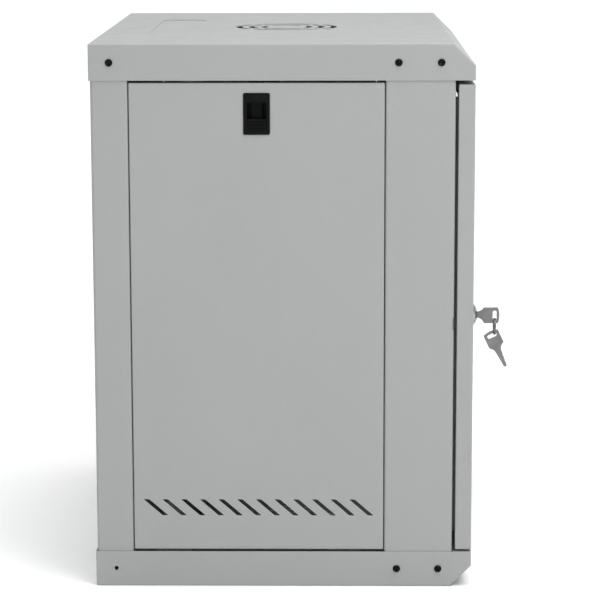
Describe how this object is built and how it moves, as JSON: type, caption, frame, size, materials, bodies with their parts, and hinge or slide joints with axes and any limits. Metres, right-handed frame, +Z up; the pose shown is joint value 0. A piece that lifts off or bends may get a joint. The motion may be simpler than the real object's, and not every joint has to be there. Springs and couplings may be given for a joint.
{
  "type": "network server rack cabinet",
  "caption": "Wall-mount steel cabinet for 19-inch network equipment, with a hinged glass door, lift-off side panels, sliding rack rails and a keyed lock.",
  "frame": {"origin": "middle of the underside of the bottom cover, on the surface that the cabinet stands on", "axes": "+Z up; -Y the front, where the door is; +X to the right of a person facing the door"},
  "size_m": [0.605, 0.485, 0.64],
  "materials": {
    "painted_steel": "fine-textured light grey powder coat",
    "rail_steel": "galvanised sheet",
    "zinc_plated_steel": "bright zinc plate",
    "blackened_steel": "black zinc",
    "spring_steel": "drawn wire",
    "black_plastic": "moulded, fine grain",
    "lock_chrome": "satin chrome",
    "plug_brass": "nickel-plated brass",
    "key_nickel": "nickel plate",
    "door_glass": "dark grey-tinted tempered glass",
    "black_rubber": "foam strip"
  },
  "bodies": {
    "cabinet": {"top_cover": "painted_steel", "bottom_cover": "painted_steel", "front_post_left": "painted_steel", "front_post_right": "painted_steel", "rear_post_left": "painted_steel", "rear_post_right": "painted_steel", "depth_rail_upper_left": "painted_steel", "depth_rail_upper_right": "painted_steel", "depth_rail_lower_left": "painted_steel", "depth_rail_lower_right": "painted_steel", "back_panel": "painted_steel", "top_cover_screws": "blackened_steel", "bottom_cover_screws": "blackened_steel", "rivet_nuts": "zinc_plated_steel", "back_panel_screws": "blackened_steel", "earth_stud": "zinc_plated_steel", "earth_nuts": "zinc_plated_steel", "hinge_pin_lower": "zinc_plated_steel", "hinge_washer": "zinc_plated_steel"},
    "door": {"door_frame": "painted_steel", "glass_gasket": "black_rubber", "door_glass": "door_glass", "glass_strip_left": "zinc_plated_steel", "glass_strip_right": "zinc_plated_steel", "glass_strip_top": "zinc_plated_steel", "glass_strip_bottom": "zinc_plated_steel", "strip_studs": "zinc_plated_steel", "strip_nuts": "zinc_plated_steel", "hinge_bracket_upper": "zinc_plated_steel", "hinge_spring": "spring_steel", "lock_housing": "lock_chrome", "lock_nut": "lock_chrome"},
    "hinge_pin": {"hinge_pin_upper": "zinc_plated_steel"},
    "lock_plug": {"lock_plug": "plug_brass", "lock_cam": "zinc_plated_steel", "cam_screw": "zinc_plated_steel"},
    "key": {"key": "key_nickel"},
    "key_ring": {"key_ring": "key_nickel"},
    "spare_key": {"spare_key": "key_nickel"},
    "side_panel_left": {"side_panel_left": "painted_steel", "latch_housing_left": "black_plastic", "latch_spring_left": "spring_steel"},
    "latch_left": {"latch_slider_left": "black_plastic"},
    "side_panel_right": {"side_panel_right": "painted_steel", "latch_housing_right": "black_plastic", "latch_spring_right": "spring_steel"},
    "latch_right": {"latch_slider_right": "black_plastic"},
    "rack_rail_front_left": {"rack_rail_front_left": "rail_steel", "rail_bolts_front_left": "zinc_plated_steel", "rail_nuts_front_left": "zinc_plated_steel"},
    "rack_rail_front_right": {"rack_rail_front_right": "rail_steel", "rail_bolts_front_right": "zinc_plated_steel", "rail_nuts_front_right": "zinc_plated_steel"},
    "rack_rail_rear_left": {"rack_rail_rear_left": "rail_steel", "rail_bolts_rear_left": "zinc_plated_steel", "rail_nuts_rear_left": "zinc_plated_steel"},
    "rack_rail_rear_right": {"rack_rail_rear_right": "rail_steel", "rail_bolts_rear_right": "zinc_plated_steel", "rail_nuts_rear_right": "zinc_plated_steel"}
  },
  "joints": [
    {"name": "door_hinge", "type": "hinge", "parent": "cabinet", "child": "door", "pos_m": [0.29, -0.212, 0.32], "axis": [0, 0, 1], "range_deg": [0, 180]},
    {"name": "hinge_pin_slide", "type": "slide", "parent": "door", "child": "hinge_pin", "axis": [0, 0, 1], "range_m": [-0.008, 0], "stiffness_N_per_m": 400, "springref_m": 0.01, "deforming": ["hinge_spring"]},
    {"name": "lock_turn", "type": "hinge", "parent": "door", "child": "lock_plug", "pos_m": [-0.258, -0.211, 0.319], "axis": [0, 1, 0], "range_deg": [0, 90]},
    {"name": "key_pull", "type": "slide", "parent": "lock_plug", "child": "key", "axis": [0, -1, 0], "range_m": [0, 0.028]},
    {"name": "ring_swing", "type": "hinge", "parent": "key", "child": "key_ring", "pos_m": [-0.258, -0.2487, 0.3141], "axis": [1, 0, 0], "range_deg": [-70, 20]},
    {"name": "spare_key_swing", "type": "hinge", "parent": "key_ring", "child": "spare_key", "pos_m": [-0.258, -0.2487, 0.2957], "axis": [1, 0, 0], "range_deg": [-60, 20]},
    {"name": "side_panel_tilt_left", "type": "hinge", "parent": "cabinet", "child": "side_panel_left", "pos_m": [-0.2986, 0.029, 0.0445], "axis": [0, -1, 0], "range_deg": [0, 25]},
    {"name": "latch_slide_left", "type": "slide", "parent": "side_panel_left", "child": "latch_left", "axis": [0, 0, 1], "range_m": [0, 0.006], "deforming": ["latch_spring_left"]},
    {"name": "side_panel_tilt_right", "type": "hinge", "parent": "cabinet", "child": "side_panel_right", "pos_m": [0.2986, 0.029, 0.0445], "axis": [0, 1, 0], "range_deg": [0, 25]},
    {"name": "latch_slide_right", "type": "slide", "parent": "side_panel_right", "child": "latch_right", "axis": [0, 0, 1], "range_m": [0, 0.006], "deforming": ["latch_spring_right"]},
    {"name": "rack_rail_slide_front_left", "type": "slide", "parent": "cabinet", "child": "rack_rail_front_left", "axis": [0, 1, 0], "range_m": [0, 0.07]},
    {"name": "rack_rail_slide_front_right", "type": "slide", "parent": "cabinet", "child": "rack_rail_front_right", "axis": [0, 1, 0], "range_m": [0, 0.07]},
    {"name": "rack_rail_slide_rear_left", "type": "slide", "parent": "cabinet", "child": "rack_rail_rear_left", "axis": [0, -1, 0], "range_m": [0, 0.07]},
    {"name": "rack_rail_slide_rear_right", "type": "slide", "parent": "cabinet", "child": "rack_rail_rear_right", "axis": [0, -1, 0], "range_m": [0, 0.07]}
  ]
}
